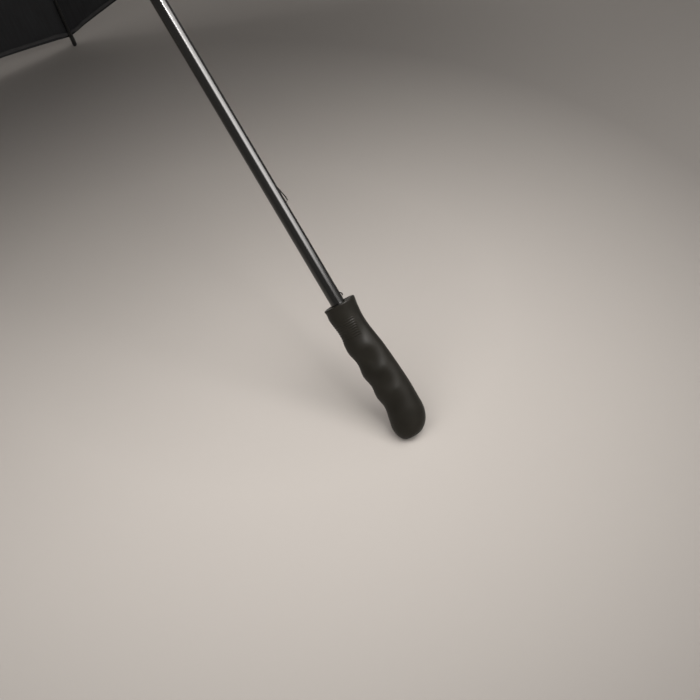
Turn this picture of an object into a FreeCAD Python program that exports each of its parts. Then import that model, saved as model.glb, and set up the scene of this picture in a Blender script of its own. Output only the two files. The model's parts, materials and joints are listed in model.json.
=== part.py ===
import FreeCAD, Part
import math
import os

# A manual golf umbrella, open. Millimetres. +Z runs up the shaft, and the origin
# is the end of the handle on the shaft's axis. The finger side of the grip is -X,
# and both catches face +X.

# Shaft
shaft_diameter = 14.0
shaft_wall = 0.9
shaft_foot = 24.0  # the tube's lower end, inside the grip
fixed_fit = 0.05  # gap round a piece that is glued, pinned or crimped in place
running_fit = 0.08  # radial clearance at a pivot
sliding_fit = 0.25  # radial clearance of the runner on the shaft
free_gap = 0.3  # air between two faces that only come near each other

# Grip
grip_length = 148.0
grip_seam = 2.0  # height of the seam between the grip and its end cap
grip_bore_floor = 22.0
plug_diameter = 16.0
plug_length = 9.0
rim_round = 1.2
# The outline: height as a share of the grip's length, then how far the finger
# side, the palm side and the two flat sides stand from the shaft's axis.
grip_outline = [
    (0.000, 8.5, 4.5, 6.0),
    (0.010, 12.0, 9.6, 9.8),
    (0.037, 14.9, 14.4, 13.0),
    (0.064, 16.0, 17.4, 14.6),
    (0.092, 16.6, 19.4, 15.4),
    (0.142, 15.7, 21.3, 16.0),
    (0.196, 13.8, 21.6, 16.2),
    (0.266, 12.4, 21.7, 16.2),
    (0.341, 14.1, 21.6, 16.0),
    (0.421, 13.0, 21.0, 15.8),
    (0.500, 15.1, 20.2, 15.6),
    (0.588, 13.6, 19.2, 15.4),
    (0.682, 16.0, 17.6, 15.2),
    (0.800, 14.4, 15.2, 14.7),
    (0.865, 14.9, 15.0, 14.7),
    (0.946, 15.6, 16.2, 15.6),
    (1.000, 16.3, 17.7, 16.8),
]

# Ribs
rib_count = 8
rib_phase = 11.25  # azimuth of the first rib, degrees
rib_pivot_rise = 794.0  # above the top of the grip
rib_pivot_reach = 3.5  # out from the shaft's surface
rib_arc_length = 745.0
rib_start_slope = 11.0  # degrees below level at the pivot
rib_turn = 28.0  # degrees turned along the whole rib
rod_diameter = 4.0
rib_closed_tip_radius = 72.0
eye_radius = 2.2
blade_thickness = 1.6
blade_height = 4.0
blade_length = 12.0
head_socket_length = 22.0
socket_wall = 0.6
tip_cup_length = 14.0
tip_cup_wall = 1.2
tip_cup_end_wall = 0.4

# Pivot between a rib and its stretcher
joint_place = 330.0  # along the rib
joint_reach = 4.0  # from the rod's surface down to the rivet
joint_sleeve_length = 14.0
joint_sleeve_wall = 1.15
ear_thickness = 1.0
ear_radius = 2.6
rivet_diameter = 1.8
rivet_head_diameter = 3.6
rivet_head_height = 0.8

# Stretchers
stretcher_length = 330.0
channel_width = 3.6
channel_height = 3.6
channel_wall = 0.6
head_blade_length = 12.0  # from the rib's rivet to the open channel
foot_blade_length = 30.0  # from the runner's wire to the open channel
blade_overlap = 1.0

# Top notch and its wire
wire_diameter = 1.4
wire_bend = 1.5
notch_reach = 6.5  # from the shaft's surface to the rim
notch_above = 3.0
notch_below = 4.5
notch_skirt_wall = 1.6
notch_skirt_length = 12.0
slot_play = 0.2  # each side of a blade in its slot

# Runner
runner_pivot_reach = 6.0  # out from the shaft's surface
runner_wall = 2.95
runner_above = 9.0
runner_below = 90.0
crown_reach = 10.0  # from the shaft's surface to the rim
crown_half_height = 7.0
collar_reach = 7.0
collar_height = 6.0
window_width = 5.2
window_play = 0.6

# Catch springs
spring_thickness = 1.2
spring_width = 1.8
spring_sink = 0.1  # how far a leg lies below the shaft's surface
spring_slot_play = 0.25
catch_proud = 2.3
catch_length = 20.0
catch_step = 1.2
catch_crest = 4.0
catch_toe = 6.0
catch_toe_depth = 1.6
catch_round = 0.35
lower_catch_rise = 108.0  # above the top of the grip
lower_tail_rise = 3.0
lower_tail_length = 4.0
lower_tail_proud = 1.7
upper_leg_length = 96.0

# Canopy
cloth_thickness = 0.6
cloth_clearance = 1.4  # between the rod and the underside of the cloth
cloth_edge_reach = 14.0  # from the shaft's surface to where the panels start
cloth_overhang = 1.5  # past the end of the rod
panel_gap = 0.6
patch_rise = 4.2

# Ferrule
ferrule_cap_reach = 15.0  # from the shaft's surface
ferrule_cap_rim = 1.4
ferrule_neck_wall = 2.2
ferrule_neck_from = 15.0
ferrule_neck_to = 25.0
ferrule_pin_radius = 5.0
ferrule_pin_from = 42.0
ferrule_pin_to = 66.0
shaft_into_ferrule = 20.0

# Cross pins
notch_pin_diameter = 1.8
stop_pin_diameter = 2.4
stop_pin_proud = 2.2

shaft_radius = shaft_diameter / 2
bore_radius = shaft_radius - shaft_wall
rod_radius = rod_diameter / 2
rib_radius = rib_arc_length / math.radians(rib_turn)
rib_pivot_height = grip_length + rib_pivot_rise
rib_pivot_radius = shaft_radius + rib_pivot_reach
runner_pivot_radius = shaft_radius + runner_pivot_reach
joint_drop = rod_radius + joint_reach
cloth_gap = rod_radius + cloth_clearance
cloth_edge_radius = shaft_radius + cloth_edge_reach
notch_diameter = shaft_diameter + 2 * notch_reach
crown_diameter = shaft_diameter + 2 * crown_reach
collar_diameter = shaft_diameter + 2 * collar_reach
ferrule_cap_radius = shaft_radius + ferrule_cap_reach
ferrule_neck_radius = shaft_radius + ferrule_neck_wall
lower_catch_height = grip_length + lower_catch_rise
lower_tail_height = grip_length + lower_tail_rise
UP = FreeCAD.Vector(0, 0, 1)
SIDE = FreeCAD.Vector(0, 1, 0)


def vec(x, y, z):
    return FreeCAD.Vector(x, y, z)


def cylinder(radius, low, high, x=0.0, y=0.0):
    return Part.makeCylinder(radius, high - low, vec(x, y, low), UP)


def tube(outer, inner, low, high):
    return cylinder(outer, low, high).cut(cylinder(inner, low - 1, high + 1))


def box(low, high):
    size = [b - a for a, b in zip(low, high)]
    return Part.makeBox(size[0], size[1], size[2], vec(low[0], low[1], low[2]))


def turned(points):
    """A solid turned about the shaft's axis from (radius, height) points."""
    outline = [vec(r, 0, z) for r, z in points]
    face = Part.Face(Part.makePolygon(outline + outline[:1]))
    return face.revolve(vec(0, 0, 0), UP, 360)


def plate(points, thickness):
    """A flat plate in the X-Z plane, centred on it, from (x, z) points."""
    outline = [vec(x, -thickness / 2, z) for x, z in points]
    face = Part.Face(Part.makePolygon(outline + outline[:1]))
    return face.extrude(vec(0, thickness, 0))


def cross_cylinder(radius, x, z, half_width):
    """A cylinder along Y, centred on the X-Z plane."""
    return Part.makeCylinder(radius, 2 * half_width, vec(x, -half_width, z), SIDE)


def at_rib(shape, index):
    """A copy of a shape made in the X-Z plane, turned to a rib's azimuth."""
    placed = shape.copy()
    azimuth = rib_phase + index * 360 / rib_count
    placed.rotate(vec(0, 0, 0), UP, azimuth)
    return placed


def around_ribs(shape):
    return [at_rib(shape, index) for index in range(rib_count)]


# The rib's curve


def rib_slope(along):
    return math.radians(rib_start_slope) + along / rib_radius


def rib_centre():
    slope = rib_slope(0)
    x = rib_pivot_radius - rib_radius * math.sin(slope)
    z = rib_pivot_height - rib_radius * math.cos(slope)
    return vec(x, 0, z)


def rib_point(along, outside=0.0):
    """A point beside the rod's centreline, outside being the cloth's side."""
    slope = rib_slope(along)
    reach = rib_radius + outside
    return rib_centre() + vec(reach * math.sin(slope), 0, reach * math.cos(slope))


def rib_tangent(along):
    slope = rib_slope(along)
    return vec(math.cos(slope), 0, -math.sin(slope))


def rib_bar(outer, inner, start, end):
    """A round bar or sleeve that follows the rib."""
    rims = [Part.Wire(Part.makeCircle(outer, rib_point(start), rib_tangent(start)))]
    if inner:
        rims.append(
            Part.Wire(Part.makeCircle(inner, rib_point(start), rib_tangent(start)))
        )
    face = Part.makeFace(rims, "Part::FaceMakerBullseye")
    turn = math.degrees((end - start) / rib_radius)
    return face.revolve(rib_centre(), SIDE, turn)


# The linkage in its two end positions


def joint_point():
    return rib_point(joint_place, -joint_drop)


def length_xz(a, b):
    return math.hypot(b.x - a.x, b.z - a.z)


def rib_pivot():
    return vec(rib_pivot_radius, 0, rib_pivot_height)


def rib_fold():
    """Degrees from the open rib down to the closed one."""
    tip = rib_point(rib_arc_length)
    open_slope = math.atan2(rib_pivot().z - tip.z, tip.x - rib_pivot_radius)
    reach = length_xz(rib_pivot(), tip)
    closed_slope = math.acos((rib_closed_tip_radius - rib_pivot_radius) / reach)
    return math.degrees(closed_slope - open_slope)


def runner_height(joint):
    """Height of the runner's pivots when the rib's joint is at this point."""
    across = joint.x - runner_pivot_radius
    return joint.z - math.sqrt(stretcher_length**2 - across**2)


def closed_joint_point():
    turn = FreeCAD.Rotation(SIDE, rib_fold())
    return rib_pivot() + turn.multVec(joint_point() - rib_pivot())


runner_open = runner_height(joint_point())
runner_closed = runner_height(closed_joint_point())
runner_outer = shaft_radius + sliding_fit + runner_wall
upper_catch_top = runner_open - runner_below - window_play
upper_catch_height = upper_catch_top - catch_length
upper_tail_height = upper_catch_height - upper_leg_length
toe_end = lower_catch_height + catch_length + catch_toe


# Handle


def grip_body():
    """The whole outline of the handle, grip and end cap together."""
    sections = []
    for share, finger, palm, flat in grip_outline:
        across = (finger + palm) / 2
        centre = vec((palm - finger) / 2, 0, share * grip_length)
        if across > flat:
            curve = Part.Ellipse(centre, across, flat)
        else:
            east = centre + vec(0, flat, 0)
            north = centre - vec(across, 0, 0)
            curve = Part.Ellipse(east, north, centre)
        sections.append(Part.Wire(curve.toShape()))
    return Part.makeLoft(sections, True, False)


def grip():
    reach = 2 * max(row[2] for row in grip_outline)
    top = grip_length + 1
    above = box((-reach, -reach, grip_seam), (reach, reach, top))
    body = grip_body().common(above)
    rim = [e for e in body.Edges if abs(e.CenterOfMass.z - grip_length) < 0.01]
    body = body.makeFillet(rim_round, rim)
    body = body.cut(cylinder(shaft_radius + fixed_fit, grip_bore_floor, top))
    plug_top = grip_seam + plug_length + free_gap
    return body.cut(cylinder(plug_diameter / 2 + fixed_fit, 0, plug_top))


def grip_end_cap():
    reach = 2 * max(row[2] for row in grip_outline)
    seam = grip_seam - free_gap
    below = box((-reach, -reach, -1), (reach, reach, seam))
    plug = cylinder(plug_diameter / 2, seam - 1, grip_seam + plug_length)
    return grip_body().common(below).fuse(plug).removeSplitter()


# Shaft and catches


def spring_slot(low, high):
    """The slot in the shaft's +X wall that a catch spring works in."""
    half = spring_width / 2 + spring_slot_play
    outer = shaft_radius + 1
    inner = bore_radius - 2
    slot = box((inner, -half, low + half), (outer, half, high - half))
    for end in (low + half, high - half):
        reach = vec(outer - inner, 0, 0)
        slot = slot.fuse(
            Part.makeCylinder(half, reach.x, vec(inner, 0, end), vec(1, 0, 0))
        )
    return slot


def shaft_tube():
    top = rib_pivot_height + shaft_into_ferrule
    shaft = tube(shaft_radius, bore_radius, shaft_foot, top)
    shaft = shaft.cut(spring_slot(lower_tail_height - 1, toe_end - catch_toe / 2))
    upper_end = upper_catch_top + catch_toe / 2
    shaft = shaft.cut(spring_slot(upper_tail_height - 1, upper_end))
    for height, radius in (
        (notch_pin_height(), notch_pin_diameter / 2),
        (stop_pin_height(), stop_pin_diameter / 2),
    ):
        shaft = shaft.cut(
            cross_cylinder(radius + fixed_fit, 0, height, 2 * shaft_radius)
        )
    return shaft


def spring_from(outer_edge):
    """A leaf spring from the outer edge of its side view."""
    inner_edge = [(x - spring_thickness, z) for x, z in reversed(outer_edge)]
    leaf = plate(outer_edge + inner_edge, spring_width)
    across = [
        e
        for e in leaf.Edges
        if abs(abs(e.tangentAt(e.FirstParameter).y) - 1) < 1e-6
    ]
    return leaf.makeFillet(catch_round, across)


def lower_catch_spring():
    leg = shaft_radius - spring_sink
    tail = shaft_radius + lower_tail_proud
    crest = shaft_radius + catch_proud
    toe = bore_radius - catch_toe_depth / 2
    low = lower_catch_height
    high = low + catch_length
    tail_low = lower_tail_height + spring_thickness
    tail_high = tail_low + lower_tail_length
    return spring_from(
        [
            (leg - 1, lower_tail_height),
            (leg, tail_low),
            (tail, tail_low + 1),
            (tail, tail_high - 1),
            (leg, tail_high + 1),
            (leg, low),
            (crest, low + catch_step),
            (crest, low + catch_step + catch_crest),
            (leg - 0.6, high),
            (toe, high + catch_toe / 2),
            (toe, high + catch_toe),
        ]
    )


def upper_catch_spring():
    leg = shaft_radius - spring_sink
    crest = shaft_radius + catch_proud
    toe = bore_radius - catch_toe_depth / 2
    low = upper_catch_height
    high = upper_catch_top
    return spring_from(
        [
            (leg - 1, upper_tail_height),
            (leg, upper_tail_height + spring_thickness),
            (leg, low),
            (crest, high - catch_step - catch_crest),
            (crest, high - catch_step),
            (leg - 0.6, high),
            (toe, high + 1.5),
            (toe, high + catch_toe),
        ]
    )


# Fittings round the shaft


def bent_wire(across, height, radius):
    """A wire ring with one straight stretch at each rib, bent between them."""
    turn = math.pi / rib_count
    half = across * math.tan(turn)
    cut = wire_bend * math.tan(turn)
    start = vec(across, -half + cut, 0)
    end = vec(across, half - cut, 0)
    edges = []
    for index in range(rib_count):
        straight = Part.LineSegment(start, end).toShape()
        after = FreeCAD.Rotation(UP, math.degrees(2 * turn)).multVec(start)
        middle = vec(math.cos(turn), math.sin(turn), 0)
        middle.multiply(across / math.cos(turn) - wire_bend / math.cos(turn) + wire_bend)
        bend = Part.Arc(end, middle, after).toShape()
        for edge in (straight, bend):
            edge.rotate(vec(0, 0, 0), UP, rib_phase + index * 360 / rib_count)
            edges.append(edge)
    path = Part.Wire(Part.__sortEdges__(edges))
    first = path.Edges[0]
    place = first.valueAt(first.FirstParameter)
    along = first.tangentAt(first.FirstParameter)
    circle = Part.Wire(Part.makeCircle(radius, place, along))
    ring = path.makePipeShell([circle], True, False)
    ring.translate(vec(0, 0, height))
    return ring


def radial_slot(inner, outer, low, high):
    """The cut that a blade swings in, at the first rib before it is turned."""
    half = blade_thickness / 2 + slot_play
    return box((inner, -half, low), (outer, half, high))


def top_notch():
    wire_half = wire_diameter / 2 + fixed_fit
    bore = shaft_radius + fixed_fit
    top = rib_pivot_height + notch_above
    bottom = rib_pivot_height - notch_below
    hub = tube(notch_diameter / 2, bore, bottom, top)
    skirt_outer = bore + notch_skirt_wall
    hub = hub.fuse(tube(skirt_outer, bore, bottom - notch_skirt_length, bottom))
    groove = tube(
        notch_diameter,
        rib_pivot_radius - wire_half,
        rib_pivot_height - wire_half,
        rib_pivot_height + wire_half,
    )
    hub = hub.cut(groove)
    slot_floor = rib_pivot_radius - eye_radius - free_gap
    slot = radial_slot(slot_floor, notch_diameter, bottom - 2, top + 1)
    hub = hub.cut(Part.makeCompound(around_ribs(slot)))
    pin = cross_cylinder(
        notch_pin_diameter / 2 + fixed_fit, 0, notch_pin_height(), notch_diameter
    )
    return hub.cut(pin)


def notch_wire():
    return bent_wire(rib_pivot_radius, rib_pivot_height, wire_diameter / 2)


def notch_pin_height():
    return rib_pivot_height - notch_below - notch_skirt_length / 2


def stop_pin_height():
    return runner_open + runner_above + free_gap + stop_pin_diameter / 2


def cross_pins():
    skirt_outer = shaft_radius + fixed_fit + notch_skirt_wall
    notch_pin = cross_cylinder(
        notch_pin_diameter / 2, 0, notch_pin_height(), skirt_outer
    )
    stop_pin = cross_cylinder(
        stop_pin_diameter / 2, 0, stop_pin_height(), shaft_radius + stop_pin_proud
    )
    return Part.makeCompound([notch_pin, stop_pin])


def runner():
    inner = shaft_radius + sliding_fit
    bottom = runner_open - runner_below
    sleeve = cylinder(runner_outer, bottom, runner_open + runner_above)
    crown = cylinder(
        crown_diameter / 2,
        runner_open - crown_half_height,
        runner_open + crown_half_height,
    )
    collar = cylinder(collar_diameter / 2, bottom, bottom + collar_height)
    body = sleeve.fuse([crown, collar]).removeSplitter()
    rims = [
        e
        for e in body.Edges
        if isinstance(e.Curve, Part.Circle) and e.Curve.Radius > runner_outer + 1
    ]
    body = body.makeFillet(1.0, rims)
    body = body.cut(cylinder(inner, bottom - 1, runner_open + runner_above + 1))
    slot_floor = runner_pivot_radius - eye_radius - free_gap
    slot = radial_slot(
        slot_floor,
        crown_diameter,
        runner_open - crown_half_height - 1,
        runner_open + crown_half_height + 1,
    )
    body = body.cut(Part.makeCompound(around_ribs(slot)))
    body = body.cut(
        bent_wire(runner_pivot_radius, runner_open, wire_diameter / 2 + fixed_fit)
    )
    lift = runner_open - runner_closed
    window = box(
        (0, -window_width / 2, lower_catch_height - window_play + lift),
        (
            crown_diameter,
            window_width / 2,
            lower_catch_height + catch_length + window_play + lift,
        ),
    )
    return body.cut(window)


def runner_wire():
    """The runner's wire where the lugs hold it. The eyes' stretches are left out."""
    ring = bent_wire(runner_pivot_radius, runner_open, wire_diameter / 2)
    slot = radial_slot(0, crown_diameter, 0, 2 * rib_pivot_height)
    return ring.cut(Part.makeCompound(around_ribs(slot)))


def patch_low():
    return rib_point(cloth_edge_radius - rib_pivot_radius, cloth_gap).z


def patch_outer():
    """Inside the panels, which come nearest to the shaft between two ribs."""
    nearest = rib_point(cloth_edge_radius - rib_pivot_radius, cloth_gap).x
    return nearest * math.cos(math.pi / rib_count) - panel_gap


def crown_patch():
    inner = shaft_radius + fixed_fit
    outer = patch_outer()
    low = patch_low()
    high = low + patch_rise
    return turned(
        [
            (inner, high),
            (outer, low),
            (outer, low + cloth_thickness),
            (inner, high + cloth_thickness),
        ]
    )


def ferrule():
    base = rib_pivot_height
    inner = shaft_radius + fixed_fit
    bore_top = base + shaft_into_ferrule + fixed_fit
    rim = patch_low() + cloth_thickness + free_gap
    outline = [
        (0, bore_top),
        (inner, bore_top),
        (inner, rim + patch_rise),
        (patch_outer(), rim),
        (ferrule_cap_radius, rim),
        (ferrule_cap_radius, rim + ferrule_cap_rim),
        (ferrule_neck_radius, base + ferrule_neck_from),
        (ferrule_neck_radius, base + ferrule_neck_to),
        (ferrule_pin_radius, base + ferrule_pin_from),
        (ferrule_pin_radius, base + ferrule_pin_to),
        (0, base + ferrule_pin_to),
    ]
    dome = Part.makeSphere(ferrule_pin_radius, vec(0, 0, base + ferrule_pin_to))
    return turned(outline).fuse(dome).removeSplitter()


# Ribs


def rib_rod():
    start = blade_length + rod_diameter
    return rib_bar(rod_radius, 0, start, rib_arc_length)


def rib_head():
    """The pressed head: an eye on the notch's wire and a socket for the rod."""
    outer = rod_radius + fixed_fit + socket_wall
    solid_to = blade_length + rod_diameter - free_gap
    socket_end = blade_length + head_socket_length
    socket = rib_bar(outer, rod_radius + fixed_fit, solid_to - 0.5, socket_end)
    root = rib_bar(outer, 0, blade_length, solid_to)
    half = blade_height / 2
    far = blade_length + 1
    corners = [(0, half), (far, half), (far, -half), (0, -half)]
    points = [rib_point(along, outside) for along, outside in corners]
    blade = plate([(p.x, p.z) for p in points], blade_thickness)
    pivot = rib_pivot()
    eye = cross_cylinder(eye_radius, pivot.x, pivot.z, blade_thickness / 2)
    hole = cross_cylinder(
        wire_diameter / 2 + running_fit, pivot.x, pivot.z, blade_thickness
    )
    return socket.fuse([root, blade, eye]).removeSplitter().cut(hole)


def rib_joint():
    """The bracket clamped on the rod, and the rivet through its two ears."""
    bore = rod_radius + fixed_fit
    outer = bore + joint_sleeve_wall
    half = joint_sleeve_length / 2
    sleeve = rib_bar(outer, 0, joint_place - half, joint_place + half)
    centre = joint_point()
    inner_side = blade_thickness / 2 + slot_play
    outer_side = inner_side + ear_thickness
    ear = cross_cylinder(ear_radius, centre.x, centre.z, outer_side)
    corners = [
        (-ear_radius, -joint_drop),
        (ear_radius, -joint_drop),
        (ear_radius, 0),
        (-ear_radius, 0),
    ]
    points = [rib_point(joint_place + along, out) for along, out in corners]
    web = plate([(p.x, p.z) for p in points], 2 * outer_side)
    body = sleeve.fuse([ear, web]).removeSplitter()
    gap_corners = [
        (-2 * joint_drop, -2 * joint_drop),
        (2 * joint_drop, -2 * joint_drop),
        (2 * joint_drop, -outer),
        (-2 * joint_drop, -outer),
    ]
    points = [rib_point(joint_place + along, out) for along, out in gap_corners]
    body = body.cut(plate([(p.x, p.z) for p in points], 2 * inner_side))
    body = body.cut(
        rib_bar(bore, 0, joint_place - 2 * half, joint_place + 2 * half)
    )
    hole = cross_cylinder(
        rivet_diameter / 2 + fixed_fit, centre.x, centre.z, 2 * outer_side
    )
    shank = cross_cylinder(rivet_diameter / 2, centre.x, centre.z, outer_side)
    head = rivet_head_height
    rivet = shank.fuse(
        [
            Part.makeCylinder(
                rivet_head_diameter / 2, head, vec(centre.x, side, centre.z), SIDE
            )
            for side in (outer_side, -outer_side - head)
        ]
    )
    return Part.makeCompound([body.cut(hole), rivet.removeSplitter()])


def rib_tip():
    """The moulded cup on the end of the rod, which the cloth is sewn to."""
    bore = rod_radius + fixed_fit
    outer = bore + tip_cup_wall
    start = rib_arc_length - tip_cup_length
    cup = rib_bar(outer, bore, start, rib_arc_length + fixed_fit)
    end = rib_arc_length + outer + tip_cup_end_wall
    cap = rib_bar(outer, 0, rib_arc_length + fixed_fit, end)
    ball = Part.makeSphere(outer, rib_point(end))
    return cup.fuse([cap, ball]).removeSplitter()


def stretcher():
    """A channel pressed flat at both ends, lying between its two open pivots."""
    half = blade_height / 2
    blade = plate(
        [(0, half), (stretcher_length, half), (stretcher_length, -half), (0, -half)],
        blade_thickness,
    )
    start = head_blade_length
    end = stretcher_length - foot_blade_length
    blade = blade.cut(
        box((start, -channel_width, -half - 1), (end, channel_width, half + 1))
    )
    low = start - blade_overlap
    high = end + blade_overlap
    side = channel_width / 2
    top = channel_height / 2
    channel = box((low, -side, -top), (high, side, top))
    hollow = box(
        (start + blade_overlap, channel_wall - side, -channel_height),
        (end - blade_overlap, side - channel_wall, top - channel_wall),
    )
    pieces = [channel.cut(hollow)]
    holes = []
    for x, pin in ((0, rivet_diameter), (stretcher_length, wire_diameter)):
        pieces.append(cross_cylinder(eye_radius, x, 0, blade_thickness / 2))
        holes.append(cross_cylinder(pin / 2 + running_fit, x, 0, blade_thickness))
    bar = blade.fuse(pieces).removeSplitter().cut(Part.makeCompound(holes))
    joint = joint_point()
    across = runner_pivot_radius - joint.x
    drop = runner_open - joint.z
    bar.rotate(vec(0, 0, 0), SIDE, -math.degrees(math.atan2(drop, across)))
    bar.translate(joint)
    return bar


# Canopy


def cloth_curve():
    """The curve over a rib that the underside of the cloth follows."""
    start = cloth_edge_radius - rib_pivot_radius
    end = rib_arc_length + cloth_overhang
    points = [rib_point(s, cloth_gap) for s in (start, (start + end) / 2, end)]
    return Part.Arc(points[0], points[1], points[2])


def canopy_panel():
    """The cloth on both sides of a rib, out to the middle of each gap."""
    half_angle = math.pi / rib_count
    over_rib = cloth_curve().toBSpline().toShape()
    narrow = FreeCAD.Matrix()
    narrow.scale(math.cos(half_angle), 1, 1)
    edge = over_rib.transformGeometry(narrow)
    halves = []
    for side in (1, -1):
        far = edge.copy()
        far.translate(vec(0, -side * panel_gap / 2, 0))
        far.rotate(vec(0, 0, 0), UP, side * math.degrees(half_angle))
        face = Part.makeRuledSurface(over_rib, far)
        halves.append(face.extrude(vec(0, 0, cloth_thickness)))
    return halves[0].fuse(halves[1]).removeSplitter()


def umbrella():
    """Every piece by the name of its node."""
    pieces = {
        "shaft_tube": shaft_tube(),
        "grip": grip(),
        "grip_end_cap": grip_end_cap(),
        "top_notch": top_notch(),
        "notch_wire": notch_wire(),
        "crown_patch": crown_patch(),
        "ferrule": ferrule(),
        "cross_pins": cross_pins(),
        "lower_catch_spring": lower_catch_spring(),
        "upper_catch_spring": upper_catch_spring(),
        "runner": runner(),
        "runner_wire": runner_wire(),
    }
    makers = {
        "rib_rod": rib_rod,
        "rib_head": rib_head,
        "rib_joint": rib_joint,
        "rib_tip": rib_tip,
        "stretcher": stretcher,
        "canopy_panel": canopy_panel,
    }
    for name, maker in makers.items():
        for index, shape in enumerate(around_ribs(maker())):
            pieces[f"{name}_{index + 1}"] = shape
    return pieces


os.makedirs("parts", exist_ok=True)
for node, shape in umbrella().items():
    shape.exportStep(f"parts/{node}.step")
    print(node, len(shape.Solids), shape.isValid(), round(shape.Volume, 1))
print("runner pivots", runner_open, runner_closed, "rib fold", rib_fold())
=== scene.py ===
import json
import math

import bmesh
import bpy
import numpy as np
from mathutils import Matrix, Vector
from mathutils.bvhtree import BVHTree


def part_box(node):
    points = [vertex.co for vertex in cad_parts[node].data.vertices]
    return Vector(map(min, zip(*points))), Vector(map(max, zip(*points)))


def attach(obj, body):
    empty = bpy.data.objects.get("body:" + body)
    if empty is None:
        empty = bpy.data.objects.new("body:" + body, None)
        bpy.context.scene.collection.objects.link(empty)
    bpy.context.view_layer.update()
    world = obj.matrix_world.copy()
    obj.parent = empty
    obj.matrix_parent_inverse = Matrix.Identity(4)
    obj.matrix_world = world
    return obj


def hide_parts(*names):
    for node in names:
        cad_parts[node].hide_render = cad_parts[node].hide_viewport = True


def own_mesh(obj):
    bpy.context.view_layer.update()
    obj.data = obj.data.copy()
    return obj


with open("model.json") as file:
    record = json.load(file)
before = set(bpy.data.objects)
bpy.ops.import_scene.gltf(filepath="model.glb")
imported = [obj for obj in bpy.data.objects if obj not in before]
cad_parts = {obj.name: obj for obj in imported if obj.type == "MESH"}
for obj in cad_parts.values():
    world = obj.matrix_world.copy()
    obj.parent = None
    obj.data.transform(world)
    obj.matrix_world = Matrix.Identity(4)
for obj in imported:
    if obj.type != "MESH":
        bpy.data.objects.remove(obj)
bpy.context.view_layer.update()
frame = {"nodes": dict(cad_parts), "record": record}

# An open golf umbrella lying on the end of its handle and two rib tips. Metres, in
# the part's own frame: +Z up the shaft, -X the finger side, +X the catches.

NODES = frame["nodes"]
RIBS = sum(1 for name in NODES if name.startswith("rib_rod_"))
UP = Vector((0, 0, 1))
MM = 0.001


# Meshes


def make_piece(name, verts, faces, material):
    mesh = bpy.data.meshes.new(name)
    mesh.from_pydata([tuple(v) for v in verts], [], faces)
    mesh.validate()
    mesh.update()
    piece = bpy.data.objects.new(name, mesh)
    bpy.context.scene.collection.objects.link(piece)
    mesh.materials.append(material)
    mesh.polygons.foreach_set("use_smooth", [True] * len(mesh.polygons))
    return piece


def grid_faces(rows, columns, closed=False):
    """Quads over a grid of points, row by row, wrapping round when closed."""
    faces = []
    for row in range(rows - 1):
        for column in range(columns if closed else columns - 1):
            after = (column + 1) % columns
            here = row * columns
            above = here + columns
            faces.append((here + column, here + after, above + after, above + column))
    return faces


def outward(piece):
    mesh = bmesh.new()
    mesh.from_mesh(piece.data)
    bmesh.ops.recalc_face_normals(mesh, faces=mesh.faces)
    mesh.to_mesh(piece.data)
    mesh.free()
    return piece


def tree_of(*names):
    """A search tree over the faces of some CAD nodes."""
    verts = []
    faces = []
    for name in names:
        mesh = NODES[name].data
        base = len(verts)
        verts += [v.co.copy() for v in mesh.vertices]
        faces += [[base + i for i in p.vertices] for p in mesh.polygons]
    return BVHTree.FromPolygons(verts, faces)


def azimuth_of(index):
    low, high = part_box(f"rib_tip_{index}")
    middle = (low + high) / 2
    return math.atan2(middle.y, middle.x)


# Materials


def new_material(name, colour, roughness, **inputs):
    """A Principled material and the handles that the detail functions use."""
    material = bpy.data.materials.new(name)
    material.use_nodes = True
    shader = material.node_tree.nodes["Principled BSDF"]
    shader.inputs["Base Color"].default_value = (*colour, 1)
    shader.inputs["Roughness"].default_value = roughness
    for key, value in inputs.items():
        shader.inputs[key.replace("_", " ")].default_value = value
    return material


def add_node(material, kind, **settings):
    node = material.node_tree.nodes.new(kind)
    for key, value in settings.items():
        if key in node.inputs:
            node.inputs[key].default_value = value
        else:
            setattr(node, key, value)
    return node


def join(material, source, target):
    material.node_tree.links.new(source, target)


def coordinates(material, stretch=(1, 1, 1), uv=False):
    """Texture coordinates in metres, scaled by stretch."""
    source = add_node(material, "ShaderNodeTexCoord")
    mapping = add_node(material, "ShaderNodeMapping")
    mapping.inputs["Scale"].default_value = stretch
    join(material, source.outputs["UV" if uv else "Object"], mapping.inputs["Vector"])
    return mapping.outputs["Vector"]


def noise(material, scale, detail=4.0, stretch=(1, 1, 1), uv=False):
    node = add_node(material, "ShaderNodeTexNoise", Scale=scale, Detail=detail)
    join(material, coordinates(material, stretch, uv), node.inputs["Vector"])
    return node.outputs["Fac"]


def ramp(material, value, stops):
    """A colour or grey ramp from (place, colour) stops."""
    node = add_node(material, "ShaderNodeValToRGB")
    elements = node.color_ramp.elements
    while len(elements) < len(stops):
        elements.new(0.5)
    for element, (place, colour) in zip(elements, stops):
        element.position = place
        if isinstance(colour, (int, float)):
            colour = (colour, colour, colour)
        element.color = (*colour, 1)
    join(material, value, node.inputs["Fac"])
    return node.outputs["Color"]


def spread(material, value, low, high):
    """A value from 0 to 1 taken to the range from low to high."""
    node = add_node(material, "ShaderNodeMapRange")
    node.inputs["To Min"].default_value = low
    node.inputs["To Max"].default_value = high
    join(material, value, node.inputs["Value"])
    return node.outputs["Result"]


def combine(material, operation, first, second):
    node = add_node(material, "ShaderNodeMath", operation=operation)
    for socket, value in zip(node.inputs, (first, second)):
        if isinstance(value, (int, float)):
            socket.default_value = value
        else:
            join(material, value, socket)
    return node.outputs["Value"]


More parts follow.
